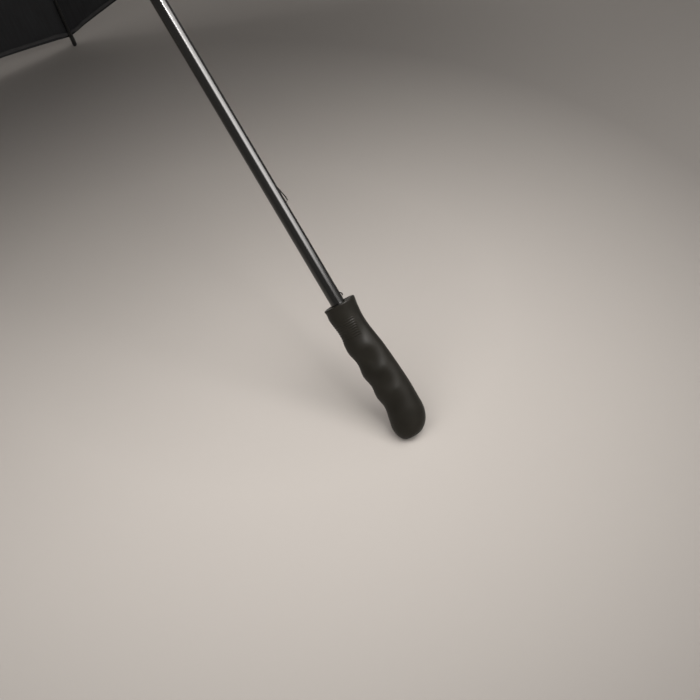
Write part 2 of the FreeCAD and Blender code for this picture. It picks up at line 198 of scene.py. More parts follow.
def finish_material(material, colour=None, roughness=None, heights=()):
    """Joins colour and roughness, and stacks (height, strength, metres) bumps."""
    shader = material.node_tree.nodes["Principled BSDF"]
    if colour is not None:
        join(material, colour, shader.inputs["Base Color"])
    if roughness is not None:
        join(material, roughness, shader.inputs["Roughness"])
    normal = None
    for height, strength, distance in heights:
        bump = add_node(
            material, "ShaderNodeBump", Strength=strength, Distance=distance
        )
        join(material, height, bump.inputs["Height"])
        if normal is not None:
            join(material, normal, bump.inputs["Normal"])
        normal = bump.outputs["Normal"]
    if normal is not None:
        join(material, normal, shader.inputs["Normal"])
    return material


def grip_rubber():
    """Soft-touch rubber: near black, a fine matt grain and slightly polished patches."""
    material = new_material(
        "grip_rubber", (0.012, 0.011, 0.009), 0.4, Specular_IOR_Level=0.1
    )
    patches = noise(material, 38, 3)
    grain = noise(material, 2600, 2)
    colour = ramp(
        material, patches, [(0.3, (0.0145, 0.0132, 0.0105)), (0.75, (0.022, 0.02, 0.016))]
    )
    rough = spread(material, patches, 0.36, 0.44)
    heights = [(patches, 0.1, 0.0004), (grain, 0.2, 0.00006)]
    return finish_material(material, colour, rough, heights)


def cap_plastic():
    material = new_material(
        "grip_cap_plastic", (0.01, 0.009, 0.008), 0.5, Specular_IOR_Level=0.3
    )
    scuffs = noise(material, 420, 6)
    colour = ramp(
        material, scuffs, [(0.45, (0.009, 0.0085, 0.007)), (0.8, (0.02, 0.019, 0.016))]
    )
    rough = spread(material, scuffs, 0.5, 0.66)
    return finish_material(material, colour, rough, [(scuffs, 0.3, 0.0001)])


def shaft_paint():
    """Baked black paint on drawn tube: faint draw lines, orange peel, light rub marks."""
    material = new_material(
        "shaft_paint",
        (0.004, 0.0037, 0.003),
        0.16,
        Specular_IOR_Level=0.75,
    )
    peel = noise(material, 900, 2)
    draw = noise(material, 700, 3, (1, 1, 0.02))
    rubbed = noise(material, 24, 6, (1, 1, 0.35))
    colour = ramp(
        material, rubbed, [(0.35, (0.0034, 0.0031, 0.0025)), (0.8, (0.008, 0.0073, 0.006))]
    )
    rough = spread(material, rubbed, 0.12, 0.22)
    heights = [(peel, 0.12, 0.00003), (draw, 0.18, 0.00004)]
    return finish_material(material, colour, rough, heights)


def moulded(name, colour, roughness, grain_scale=1500):
    """Moulded black plastic with spark-eroded grain and uneven sheen."""
    material = new_material(name, colour, roughness)
    grain = noise(material, grain_scale, 2)
    uneven = noise(material, 60, 4)
    pale = tuple(1.5 * c for c in colour)
    tint = ramp(material, uneven, [(0.3, colour), (0.8, pale)])
    rough = spread(material, uneven, roughness - 0.06, roughness + 0.08)
    return finish_material(material, tint, rough, [(grain, 0.25, 0.00005)])


def bright_steel(name, streak, tone=1.0):
    """Plated steel with fine drawn streaks and a little tarnish."""
    material = new_material(name, (0.55, 0.55, 0.54), 0.3, Metallic=1.0)
    lines = noise(material, 1800, 3, streak)
    tarnish = noise(material, 130, 5)
    colour = ramp(
        material,
        tarnish,
        [
            (0.35, (0.6 * tone, 0.6 * tone, 0.59 * tone)),
            (0.75, (0.36 * tone, 0.35 * tone, 0.33 * tone)),
        ],
    )
    rough = spread(material, lines, 0.22, 0.42)
    return finish_material(material, colour, rough, [(lines, 0.2, 0.00004)])


def blackened_steel():
    """Spring steel, blackened, rubbed bright in specks."""
    material = new_material("spring_steel", (0.02, 0.02, 0.02), 0.32, Metallic=0.6)
    rub = noise(material, 900, 6, (1, 1, 0.4))
    colour = ramp(
        material, rub, [(0.55, (0.022, 0.021, 0.02)), (0.78, (0.16, 0.155, 0.15))]
    )
    rough = spread(material, rub, 0.26, 0.42)
    return finish_material(material, colour, rough, [(rub, 0.15, 0.00003)])


def stretcher_paint():
    """Stove enamel on pressed channel, with flow marks and small chips."""
    material = new_material("stretcher_paint", (0.014, 0.014, 0.014), 0.3)
    flow = noise(material, 160, 5)
    chips = noise(material, 1100, 5)
    colour = ramp(
        material, chips, [(0.74, (0.013, 0.013, 0.013)), (0.8, (0.1, 0.1, 0.1))]
    )
    rough = spread(material, flow, 0.24, 0.42)
    heights = [(flow, 0.2, 0.0001), (chips, 0.1, 0.00003)]
    return finish_material(material, colour, rough, heights)


def fibreglass():
    """Black pultruded rod: faint fibres under a satin skin."""
    material = new_material("fibreglass", (0.016, 0.016, 0.016), 0.34)
    fibres = noise(material, 1500, 4)
    bands = noise(material, 45, 3)
    colour = ramp(
        material, fibres, [(0.35, (0.012, 0.012, 0.012)), (0.8, (0.034, 0.034, 0.033))]
    )
    rough = spread(material, bands, 0.28, 0.44)
    return finish_material(material, colour, rough, [(fibres, 0.2, 0.00004)])


THREAD = 0.00042  # spacing of the weave's threads


def weave(material):
    """A plain weave's height over the cloth's own u and v, in metres."""
    turns = math.pi / THREAD
    parts = []
    place = add_node(material, "ShaderNodeSeparateXYZ")
    join(material, coordinates(material, uv=True), place.inputs["Vector"])
    for axis in ("X", "Y"):
        scaled = combine(material, "MULTIPLY", place.outputs[axis], turns)
        parts.append(combine(material, "SINE", scaled, 0))
    return combine(material, "MULTIPLY", parts[0], parts[1])


def cloth():
    """Black pongee: tight plain weave, soft sheen, slubs and faint fold marks."""
    material = new_material(
        "canopy_cloth",
        (0.016, 0.0165, 0.019),
        0.62,
        Sheen_Weight=0.2,
        Sheen_Roughness=0.45,
        Specular_IOR_Level=0.3,
    )
    slubs = noise(material, 260, 4, (1, 0.06, 1), uv=True)
    folds = noise(material, 9, 5)
    colour = ramp(
        material, slubs, [(0.3, (0.0125, 0.013, 0.015)), (0.8, (0.024, 0.025, 0.029))]
    )
    rough = spread(material, folds, 0.52, 0.7)
    heights = [(folds, 0.25, 0.002), (weave(material), 0.35, 0.00006)]
    return finish_material(material, colour, rough, heights)


def tape():
    """The bound hem, seams and ties: the same cloth doubled, a tighter ribbed weave."""
    material = new_material(
        "bound_tape", (0.018, 0.018, 0.02), 0.7, Sheen_Weight=0.3, Sheen_Roughness=0.5
    )
    ribbing = noise(material, 1900, 2)
    wear = noise(material, 140, 5)
    colour = ramp(
        material, wear, [(0.35, (0.015, 0.015, 0.017)), (0.8, (0.03, 0.03, 0.033))]
    )
    rough = spread(material, wear, 0.6, 0.78)
    return finish_material(material, colour, rough, [(ribbing, 0.4, 0.0001)])


def thread():
    material = new_material("sewing_thread", (0.045, 0.045, 0.048), 0.6)
    twist = noise(material, 4200, 2, (1, 1, 0.4))
    colour = ramp(
        material, twist, [(0.3, (0.03, 0.03, 0.033)), (0.75, (0.075, 0.075, 0.08))]
    )
    rough = spread(material, twist, 0.5, 0.7)
    return finish_material(material, colour, rough, [(twist, 0.3, 0.00005)])


CLOTH = cloth()
TAPE = tape()
THREADS = thread()
RUBBER = grip_rubber()
CAP = cap_plastic()
SPRING = blackened_steel()
CAD_FINISHES = {
    "shaft_black": shaft_paint(),
    "grip_rubber": RUBBER,
    "grip_cap": CAP,
    "moulding": moulded("runner_plastic", (0.016, 0.016, 0.017), 0.34),
    "wire": bright_steel("pivot_wire", (1, 1, 0.1)),
    "cloth": CLOTH,
    "ferrule": moulded("ferrule_plastic", (0.014, 0.014, 0.0145), 0.28, 900),
    "pins": bright_steel("cross_pin_steel", (1, 0.1, 1)),
    "spring_steel": SPRING,
    "fibreglass": fibreglass(),
    "bright_fitting": bright_steel("plated_fitting", (0.3, 0.3, 1), 0.15),
    "tip_plastic": moulded("tip_plastic", (0.016, 0.016, 0.016), 0.4),
    "stretcher_steel": stretcher_paint(),
}


def dress_cad_nodes():
    for part in frame["record"]["subparts"]:
        node = NODES[part["node"]]
        node.data.materials.clear()
        node.data.materials.append(CAD_FINISHES[part["material_slot"]])
        for polygon in node.data.polygons:
            polygon.material_index = 0


dress_cad_nodes()


# Grip

GRIP_SIDES = 168
GRIP_STEP = 0.4 * MM
BULB_CENTRE = 15 * MM  # height of the point that the rounded end is measured from
FINE_RIBS = (110.8 * MM, 137.2 * MM)  # the fine raised ribs on the finger side
FINE_PITCH = 2.4 * MM
FINE_DEPTH = 0.45 * MM
FINE_FADE = 11 * MM  # they grow shallow towards the rim
# The hollows for the fingers: height, half of their length along the grip, depth.
FINGER_HOLLOWS = (
    (115.5 * MM, 13.5 * MM, 1.9 * MM),
    (88.0 * MM, 12.6 * MM, 2.5 * MM),
    (62.5 * MM, 12.2 * MM, 2.4 * MM),
    (38.5 * MM, 11.5 * MM, 1.3 * MM),
)
HOLLOWS_END = 148  # degrees round from the finger side
HOLLOWS_FADE = 62
FINE_EDGE = 107  # degrees round to where the fine ribs end, at their lower end
FINE_SLANT = 10  # degrees further round at their upper end
OUTSIDE = 0.09  # beyond every point of the grip, where the rays start
BULB_STEPS = 45
SMOOTHING = 5
RIM_GAP = 1.5 * MM  # the rows start this far under the rim
BORE_PLAY = 0.1 * MM
BORE_BEVEL = 1.12
SEAM_GAP = 0.12 * MM  # between the grip and its end cap
# The rim's rounding: how far in from the first row, and the share of the way up.
RIM_TURN = ((2.4 * MM, 1), (1.1 * MM, 1), (0.45 * MM, 0.86), (0.12 * MM, 0.55))
# The edges at the seam, turned in: how far in, and how far up.
SKIN_TURN = ((0.12 * MM, 0.0), (0.3 * MM, 0.08 * MM), (2 * MM, 0.1 * MM))
CAP_TURN = ((2 * MM, 0.0), (0.3 * MM, 0.0), (0.12 * MM, 0.0))


def surface_distance(tree, centre, direction):
    """How far a CAD surface stands from a point, measured from outside."""
    hit = tree.ray_cast(centre + direction * OUTSIDE, -direction)[0]
    return (hit - centre).length if hit else None


def smooth_rows(values, passes):
    """Evens out a CAD surface's facets, along the grip and round it."""
    for _ in range(passes):
        round_it = (np.roll(values, 1, 1) + np.roll(values, -1, 1) + 2 * values) / 4
        along = round_it.copy()
        along[1:-1] = (round_it[:-2] + round_it[2:] + 2 * round_it[1:-1]) / 4
        values = along
    return values


def ease(value):
    value = np.clip(value, 0, 1)
    return value * value * (3 - 2 * value)


def from_fingers(angle):
    """Degrees round the grip from the finger side, either way."""
    return math.degrees(abs(math.remainder(angle - math.pi, 2 * math.pi)))


def fine_ribs(height, angle):
    """How deep the grooves between the fine ribs lie."""
    low, high = FINE_RIBS
    ends = ease((height - low) / MM) * ease((high - height) / FINE_FADE)
    share = (height - low) / (high - low)
    edge = ease((FINE_EDGE + FINE_SLANT * share - from_fingers(angle)) / 6)
    wave = 0.5 + 0.5 * math.cos(2 * math.pi * (height - low) / FINE_PITCH)
    return FINE_DEPTH * ends * edge * wave**3


def finger_hollows(height, angle):
    """How far the hollows between the fingers' ridges reach round the front."""
    side = from_fingers(angle)
    front = math.sin(math.radians(min(side, 90))) ** 2
    edge = ease((HOLLOWS_END - side) / HOLLOWS_FADE)
    depth = 0.0
    for middle, half, deep in FINGER_HOLLOWS:
        away = abs(height - middle) / half
        if away < 1:
            depth += deep * (0.5 + 0.5 * math.cos(math.pi * away)) ** 0.85
    return depth * front * edge


def outward_at(angle, dip):
    """The direction out of the grip at an angle round it, dipping below level."""
    level = math.cos(dip)
    return Vector((level * math.cos(angle), level * math.sin(angle), -math.sin(dip)))


def grip_point(height, dip, angle, distance):
    """A point of the handle, with the fine ribs and hollows above the bulb."""
    if dip == 0:
        distance -= fine_ribs(height, angle) + finger_hollows(height, angle)
    level = distance * math.cos(dip)
    low = height - distance * math.sin(dip)
    return Vector((level * math.cos(angle), level * math.sin(angle), low))


def grip_surface():
    """Rows of points over the handle, from its rim to the bottom of the bulb."""
    tree = tree_of("grip", "grip_end_cap")
    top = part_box("grip")[1].z
    stations = [(h, 0) for h in np.arange(top - RIM_GAP, BULB_CENTRE, -GRIP_STEP)]
    dips = np.linspace(0, math.pi / 2, BULB_STEPS + 1)[1:]
    stations += [(BULB_CENTRE, dip) for dip in dips]
    angles = [2 * math.pi * i / GRIP_SIDES for i in range(GRIP_SIDES)]
    reach = np.zeros((len(stations), GRIP_SIDES))
    for row, (height, dip) in enumerate(stations):
        centre = Vector((0, 0, height))
        for column, angle in enumerate(angles):
            reach[row, column] = surface_distance(tree, centre, outward_at(angle, dip))
    reach = smooth_rows(reach, SMOOTHING)
    rows = []
    for (height, dip), distances in zip(stations, reach):
        pairs = zip(angles, distances)
        rows.append([grip_point(height, dip, angle, far) for angle, far in pairs])
    return rows


def pulled_in(points, inward, drop):
    """A row moved towards the shaft's axis and along it, to turn an edge."""
    moved = []
    for p in points:
        level = Vector((p.x, p.y, 0))
        size = max(level.length - inward, 0.0)
        moved.append(level.normalized() * size + Vector((0, 0, p.z + drop)))
    return moved


def cut_at(rows, level, side):
    """The rows above a level (side 1) or below it (side -1), trimmed to end on it."""
    kept = []
    for row in rows:
        if not any(side * (p.z - level) > 0 for p in row):
            continue
        points = []
        for column, p in enumerate(row):
            if side * (p.z - level) > 0:
                points.append(p)
                continue
            path = [other[column] for other in rows]
            after = next(i for i, q in enumerate(path) if q.z < level)
            a, b = path[after - 1], path[after]
            points.append(a.lerp(b, (a.z - level) / (a.z - b.z)))
        kept.append(points)
    return kept


def turned_in(points, turn):
    return [pulled_in(points, inward, drop) for inward, drop in turn]


def rim_rows(first):
    """The bore's mouth and the rounded rim, from inside to the first row."""
    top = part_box("grip")[1].z
    rise = top - first[0].z
    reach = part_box("shaft_tube")[1].x + BORE_PLAY
    bore = [Vector((p.x, p.y, 0)).normalized() * reach for p in first]
    rows = []
    for wide, drop in ((1, 4 * MM), (1, 0.9 * MM), (BORE_BEVEL, 0.15 * MM)):
        rows.append([b * wide + Vector((0, 0, top - drop)) for b in bore])
    return rows + turned_in(first, [(inward, rise * up) for inward, up in RIM_TURN])


def grip_skin(rows, seam_level):
    above = cut_at(rows, seam_level, 1)
    skin_rows = rim_rows(rows[0]) + above + turned_in(above[-1], SKIN_TURN)
    verts = [p for row in skin_rows for p in row]
    faces = grid_faces(len(skin_rows), GRIP_SIDES, closed=True)
    return outward(make_piece("grip_skin", verts, faces, RUBBER))


def cap_skin(rows, seam_level):
    """The end cap, from its turned edge at the seam to one point at the bottom."""
    below = cut_at(rows, seam_level - SEAM_GAP, -1)
    cap_rows = turned_in(below[0], CAP_TURN) + below[:-1]
    verts = [p for row in cap_rows for p in row]
    faces = grid_faces(len(cap_rows), GRIP_SIDES, closed=True)
    last = (len(cap_rows) - 1) * GRIP_SIDES
    pole = len(verts)
    verts.append(below[-1][0])
    for column in range(GRIP_SIDES):
        faces.append((last + column, last + (column + 1) % GRIP_SIDES, pole))
    return outward(make_piece("grip_cap_skin", verts, faces, CAP))


def handle():
    rows = grip_surface()
    seam_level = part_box("grip")[0].z
    for piece, node, slot in (
        (grip_skin(rows, seam_level), "grip", "grip_rubber"),
        (cap_skin(rows, seam_level), "grip_end_cap", "grip_cap"),
    ):
        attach(piece, "shaft_frame")
        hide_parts(node)


handle()


# Canopy

HALF_GAP = math.pi / RIBS
PANEL_ROWS = 190
PANEL_COLUMNS = 46  # across both halves, an even number
SAG = 9 * MM
SCALLOP = 22 * MM
HEM_WIDTH = 9 * MM
OVERLAP = 0.004  # how far a sheet runs on under the next one, as a share of the gap
TUCK = 0.25 * MM
READ_INSET = (4 * MM, 8 * MM)  # how far in from its two ends the CAD canopy is read
RUN_ON = (1.2 * MM, 7 * MM)  # how far the cloth goes on past where it was read
CLOTH_DROP = 0.25 * MM  # from the top of the CAD panel down to the cloth
PUCKER = (0.28 * MM, 13 * MM, 9 * MM)  # height, pitch, reach beside the seam
FAN = (1.5 * MM, 95 * MM, 9)  # height, reach from the tip, waves for each radian
PUCKER_START = 4 * MM  # beside the seam, where the puckers are at their full height
FAN_START = (30 * MM, 14 * MM)  # the same from the tip, and beside the seam
BILLOW = 1.2 * MM
BILLOW_START = (200 * MM, 60 * MM)  # the same from the crown, and from the edge
BAND_THICKNESS = 0.9 * MM  # of the hem and the seam
SEAM_HALF = 3.2 * MM
SEAM_STITCHES = 0.62  # how far out the stitches run, as a share of SEAM_HALF
TIE_PLACES = (0.19, 0.31, 0.58)  # metres along the rib, from the cloth's inner edge
TIE_DROP = 3.1 * MM  # from the cloth down to the middle of the rod
TIE_RADIUS = 2.75  # millimetres
TIE_STEPS = 28
TIE_SIZE = (5 * MM, 0.55 * MM)  # width, thickness


class RibLine:
    """The arc that the cloth follows over a rib, read from the CAD canopy."""

    def __init__(self):
        tree = tree_of("canopy_panel_1")
        angle = azimuth_of(1)
        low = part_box("crown_patch")[1].x + READ_INSET[0]
        tip_low, tip_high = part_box("rib_tip_1")
        high = Vector(((tip_low + tip_high) / 2).xy).length - READ_INSET[1]
        samples = []
        for share in (0.0, 0.5, 1.0):
            reach = low + (high - low) * share
            place = Vector((reach * math.cos(angle), reach * math.sin(angle), 2))
            hit = tree.ray_cast(place, -UP)[0]
            samples.append((reach, hit.z - CLOTH_DROP))
        self.centre, self.radius = circle_through(samples)
        self.first = self.angle_at(low - RUN_ON[0])
        self.last = self.angle_at(high + RUN_ON[1])
        self.length = self.radius * (self.last - self.first)

    def angle_at(self, reach):
        return math.asin((reach - self.centre[0]) / self.radius)

    def point(self, along, outside=0.0):
        """Distance from the axis and height, along the arc and off it."""
        angle = self.first + along / self.radius
        size = self.radius + outside
        x = self.centre[0] + size * math.sin(angle)
        return x, self.centre[1] + size * math.cos(angle)


def circle_through(points):
    (ax, ay), (bx, by), (cx, cy) = points
    d = 2 * (ax * (by - cy) + bx * (cy - ay) + cx * (ay - by))
    a, b, c = ax * ax + ay * ay, bx * bx + by * by, cx * cx + cy * cy
    x = (a * (by - cy) + b * (cy - ay) + c * (ay - by)) / d
    y = (a * (cx - bx) + b * (ax - cx) + c * (bx - ax)) / d
    return (x, y), math.hypot(ax - x, ay - y)


LINE = RibLine()


def ripple(along, across, index):
    """Small tension puckers beside the seam and long ones fanning from the tip, the
    same on both sheets that meet in a gap."""
    gap = (index if across > 0 else index - 1) % RIBS
    width = 2 * math.sin(HALF_GAP) * LINE.point(along)[0]
    beside = abs(across) * width
    waves = 0.5 + 0.5 * math.sin(gap * 2.4 + along * 31)
    height, pitch, reach = PUCKER
    pucker = math.exp(-beside / reach) * math.sin(2 * math.pi * along / pitch)
    pucker *= height * (0.5 + 0.5 * waves) * ease(beside / PUCKER_START)
    left = LINE.length - along
    distance = math.hypot(left, beside)
    angle = math.atan2(beside, max(left, 1e-6))
    height, reach, waves = FAN
    fan = math.exp(-distance / reach) * math.sin(waves * angle + gap)
    fan *= height * ease(distance / FAN_START[0]) * ease(beside / FAN_START[1])
    billow = BILLOW * math.sin(gap * 1.7 + along * 9)
    billow *= math.sin(math.pi * abs(across)) ** 2
    crown, edge = BILLOW_START
    return pucker + fan + billow * ease(along / crown) * ease(left / edge)


def canopy_point(along, across, index, outside=0.0):
    """A point of the cloth at a rib turned to azimuth 0. across runs from -0.5 to
    0.5, from the middle of one gap to the middle of the next."""
    width = abs(across)
    fullness = 4 * width * (1 - width)
    reach_share = ease(along / LINE.length)
    inside = SAG * fullness * reach_share
    x, z = LINE.point(along, outside - inside)
    turn = 2 * HALF_GAP
    lateral = math.sin(turn) * width * x
    depth = (1 - math.cos(turn)) * width * x
    z += ripple(along, across, index)
    z -= TUCK * ease((across - 0.5) / OVERLAP + 1)
    return Vector((x - depth, math.copysign(lateral, across), z))


def end_of(across):
    """Where the cloth's edge is along the arc: straight tips, hollow between."""
    width = abs(across)
    return LINE.length - SCALLOP * 4 * width * (1 - width)


def at_rib(points, index):
    turn = Matrix.Rotation(azimuth_of(index), 3, "Z")
    return [turn @ p for p in points]


def gather(piece):
    """Gives the piece a mesh of its own."""
    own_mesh(piece)


def panel_points(index):
    verts = []
    places = []
    for row in range(PANEL_ROWS):
        for column in range(PANEL_COLUMNS + 1):
            across = (1 + OVERLAP) * column / PANEL_COLUMNS - 0.5
            along = end_of(across) * row / (PANEL_ROWS - 1)
            verts.append(canopy_point(along, across, index))
            places.append((2 * across * LINE.point(along)[0] * HALF_GAP, along))
    return verts, places


def add_uv(piece, places):
    layer = piece.data.uv_layers.new(name="cloth")
    for loop in piece.data.loops:
        layer.data[loop.index].uv = places[loop.vertex_index]


def strip(path, normals, sides, width, height, rows=5):
    """A flat band along a path: points, faces of a closed, softly edged strip."""
    verts = []
    outline = []
    for step in range(2 * rows):
        turn = 2 * math.pi * step / (2 * rows)
        x = math.copysign(abs(math.cos(turn)) ** SQUARENESS, math.cos(turn))
        y = math.copysign(abs(math.sin(turn)) ** SQUARENESS, math.sin(turn))
        outline.append((x * width / 2, y * height / 2))
    for place, normal, side in zip(path, normals, sides):
        for x, y in outline:
            verts.append(place + side * x + normal * y)
    ring = len(outline)
    faces = grid_faces(len(path), ring, closed=True)
    faces.append(tuple(reversed(range(ring))))
    faces.append(tuple(range((len(path) - 1) * ring, len(path) * ring)))
    return verts, faces


STITCH = (2.0 * MM, 0.42 * MM, 0.3 * MM)  # length, width, height
STITCH_ENDS = ((-0.5, 0.35), (-0.2, 1.0), (0.2, 1.0), (0.5, 0.35))  # place, thickness
STITCH_ROUND = ((-0.5, 0), (-0.25, 1), (0.25, 1), (0.5, 0))  # across, up
STITCH_LIFT = 0.42  # millimetres above the middle of the hem
HEM_STITCHES = 1.55  # how far in the stitches run, as a share of half the hem
HEM_STEPS = 180
SEAM_STEPS = 220
SQUARENESS = 0.45  # of a band's section: 1 is an ellipse
STITCH_PITCH = 2.9 * MM
PATH_STEP = STITCH_PITCH / 3  # spacing of the points that stitches are set on


def stitches(path, normals):
    """A row of short stitches along a path, one small bead each."""
    verts = []
    faces = []
    travelled = 0.0
    for here, after, normal in zip(path, path[1:], normals):
        step = (after - here).length
        travelled += step
        if travelled < STITCH_PITCH:
            continue
        travelled -= STITCH_PITCH
        along = (after - here).normalized()
        side = along.cross(normal).normalized()
        length, width, height = STITCH
        base = len(verts)
        for t, grow in STITCH_ENDS:
            for x, y in STITCH_ROUND:
                verts.append(
                    here
                    + along * length * t
                    + side * width * x * grow
                    + normal * height * y * grow
                )
        quads = grid_faces(len(STITCH_ENDS), len(STITCH_ROUND))
        faces += [tuple(base + i for i in f) for f in quads]
    return verts, faces


def along_path(points, outward_from):
    """Unit normals and sideways directions along a path on the canopy."""
    normals = []
    sides = []
    for i, place in enumerate(points):
        before = points[max(i - 1, 0)]
        after = points[min(i + 1, len(points) - 1)]
        tangent = (after - before).normalized()
        normal = (place - outward_from).normalized()
        normal = (normal - tangent * normal.dot(tangent)).normalized()
        normals.append(normal)
        sides.append(tangent.cross(normal).normalized())
    return normals, sides


CROWN_BELOW = Vector((0, 0, LINE.centre[1]))


def hem(index):
    """The doubled hem along the edge, with its row of stitches."""
    inset = HEM_WIDTH / 2
    edge = []
    row = []
    for step in range(HEM_STEPS + 1):
        across = step / HEM_STEPS - 0.5
        end = end_of(across)
        edge.append(canopy_point(end - inset, across, index))
        row.append(canopy_point(end - HEM_STITCHES * inset, across, index))
    normals, sides = along_path(edge, CROWN_BELOW)
    verts, faces = strip(edge, normals, sides, HEM_WIDTH, BAND_THICKNESS)
    band = outward(make_piece(f"canopy_hem_{index}", at_rib(verts, index), faces, TAPE))
    normals, _ = along_path(row, CROWN_BELOW)
    lifted = [p + n * STITCH_LIFT * MM for p, n in zip(row, normals)]
    verts, faces = stitches(dense(lifted, lifted), dense(normals, lifted))
    sewn = make_piece(f"hem_stitches_{index}", at_rib(verts, index), faces, THREADS)
    return band, sewn


def dense(values, path):
    """The values that go with the points of a path, at an even spacing along it."""
    lengths = [0.0]
    for a, b in zip(path, path[1:]):
        lengths.append(lengths[-1] + (b - a).length)
    count = int(lengths[-1] / PATH_STEP)
    picked = []
    place = 0
    for step in range(count + 1):
        at = lengths[-1] * step / count
        while place < len(lengths) - 2 and lengths[place + 1] < at:
            place += 1
        span = max(lengths[place + 1] - lengths[place], 1e-9)
        share = (at - lengths[place]) / span
        picked.append(values[place].lerp(values[place + 1], share))
    return picked


def seam(index):
    """The felled seam over the rib, with a row of stitches down each side."""
    middle = []
    rows = {1: [], -1: []}
    for step in range(SEAM_STEPS + 1):
        along = (LINE.length - HEM_WIDTH * 0.5) * step / SEAM_STEPS
        middle.append(canopy_point(along, 0.0, index, 0.1 * MM))
        x = LINE.point(along)[0]
        for side in rows:
            place = canopy_point(along, 0.0, index, 0.55 * MM)
            aside = min(SEAM_HALF * SEAM_STITCHES, x / 6)
            rows[side].append(place + Vector((0, side * aside, 0)))
    normals, sides = along_path(middle, CROWN_BELOW)
    verts, faces = strip(middle, normals, sides, 2 * SEAM_HALF, BAND_THICKNESS)
    band = outward(
        make_piece(f"canopy_seam_{index}", at_rib(verts, index), faces, TAPE)
    )
    verts = []
    faces = []
    for path in rows.values():
        row_normals, _ = along_path(path, CROWN_BELOW)
        more, more_faces = stitches(dense(path, path), dense(row_normals, path))
        faces += [tuple(len(verts) + i for i in f) for f in more_faces]
        verts += more
    sewn = make_piece(f"seam_stitches_{index}", at_rib(verts, index), faces, THREADS)
    return band, sewn


def rib_tie(index, along):
    """A loop of tape that ties the rod to the seam."""
    ring = []
    x, z = LINE.point(along, -TIE_DROP)
    slope = LINE.first + along / LINE.radius
    tangent = Vector((math.cos(slope), 0, -math.sin(slope)))
    up = Vector((math.sin(slope), 0, math.cos(slope)))
    for step in range(TIE_STEPS + 1):
        turn = 2 * math.pi * step / TIE_STEPS
        side = Vector((0, math.sin(turn), 0)) + up * math.cos(turn)
        ring.append(Vector((x, 0, z)) + side * TIE_RADIUS * MM)
    normals = [(p - Vector((x, 0, z))).normalized() for p in ring]
    return strip(ring, normals, [tangent] * len(ring), *TIE_SIZE, 4)


def canopy():
    for index in range(1, RIBS + 1):
        verts, places = panel_points(index)
        faces = grid_faces(PANEL_ROWS, PANEL_COLUMNS + 1)
        panel = outward(
            make_piece(f"canopy_cloth_{index}", at_rib(verts, index), faces, CLOTH)
        )
        add_uv(panel, places)
        sewn = [*hem(index), *seam(index)]
        tie_verts = []
        tie_faces = []
        for along in TIE_PLACES:
            more, more_faces = rib_tie(index, along)
            tie_faces += [tuple(len(tie_verts) + i for i in f) for f in more_faces]
            tie_verts += more
        ties = outward(
            make_piece(f"rib_ties_{index}", at_rib(tie_verts, index), tie_faces, TAPE)
        )
        for piece in (panel, *sewn, ties):
            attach(piece, f"rib_{index}")
        for piece in (panel, *sewn):
            gather(piece)
        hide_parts(f"canopy_panel_{index}")


canopy()


def crown_rosette():
    """The small gathered disc of cloth under the ferrule's cap."""
    low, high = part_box("crown_patch")
    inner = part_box("shaft_tube")[1].x + 0.2 * MM
    outer = high.x
    rows = 14
    around = 96
    verts = []
    places = []
    for row in range(rows):
        share = row / (rows - 1)
        reach = inner + (outer - inner) * share
        height = high.z - 0.3 * MM - (high.z - low.z - 0.6 * MM) * share
        for column in range(around):
            angle = 2 * math.pi * column / around
            pleat = 0.15 * MM * math.sin(12 * angle) * share
            verts.append(
                Vector((reach * math.cos(angle), reach * math.sin(angle), height + pleat))
            )
            places.append((angle * reach, reach))
    faces = grid_faces(rows, around, closed=True)
    disc = outward(make_piece("crown_rosette", verts, faces, CLOTH))
    add_uv(disc, places)
    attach(disc, "shaft_frame")
    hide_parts("crown_patch")


crown_rosette()


# Floor, light and camera


TILT_LIMITS = (math.radians(20), math.radians(70))  # the floor's tilt is between them
HALVINGS = 40


def lowest_along(direction, names):
    low = 1e9
    for name in names:
        for v in NODES[name].data.vertices:
            low = min(low, v.co.dot(direction))
    return low


def floor_normal():
    """Up from the floor that the handle's end and the two nearest rib tips lie on."""
    third, fourth = azimuth_of(3), azimuth_of(4)
    away = (third + fourth) / 2 + math.pi
    level = Vector((math.cos(away), math.sin(away), 0))
    shallow, steep = TILT_LIMITS
    for _ in range(HALVINGS):
        tilt = (shallow + steep) / 2
        normal = UP * math.cos(tilt) + level * math.sin(tilt)
        handle_low = lowest_along(normal, ("grip", "grip_end_cap"))
        tips_low = lowest_along(normal, ("rib_tip_3", "rib_tip_4"))
        if tips_low > handle_low:
            shallow = tilt
        else:
            steep = tilt
    return normal, handle_low


FLOOR_UP, FLOOR_LEVEL = floor_normal()

SENSOR = 36.0
LENS = 58.5
DISTANCE = 1.10
RAISED = math.radians(7.0)  # the canopy's end is tilted towards the camera
ROLL = math.radians(30.7)
AIM = Vector((0, 0, 0.075))
AIM_OFFSET = (0.0255, 0.0178)  # right and down of the picture's centre, at the aim


def make_camera():
    """Sets the camera, and gives the direction back towards it."""
    back = Vector((0, -math.cos(RAISED), math.sin(RAISED)))
    up = (UP - back * UP.dot(back)).normalized()
    right = up.cross(back)
    rolled_up = up * math.cos(ROLL) + right * math.sin(ROLL)
    rolled_right = rolled_up.cross(back)
    place = AIM + back * DISTANCE
    place += rolled_up * AIM_OFFSET[1] - rolled_right * AIM_OFFSET[0]
    data = bpy.data.cameras.new("camera")
    data.lens = LENS
    data.sensor_width = SENSOR
    data.clip_start = 0.05
    data.clip_end = 30
    camera = bpy.data.objects.new("camera", data)
    axes = Matrix((rolled_right, rolled_up, back)).transposed()
    camera.matrix_world = Matrix.Translation(place) @ axes.to_4x4()
    bpy.context.scene.collection.objects.link(camera)
    bpy.context.scene.camera = camera
    return back


VIEW_BACK = make_camera()


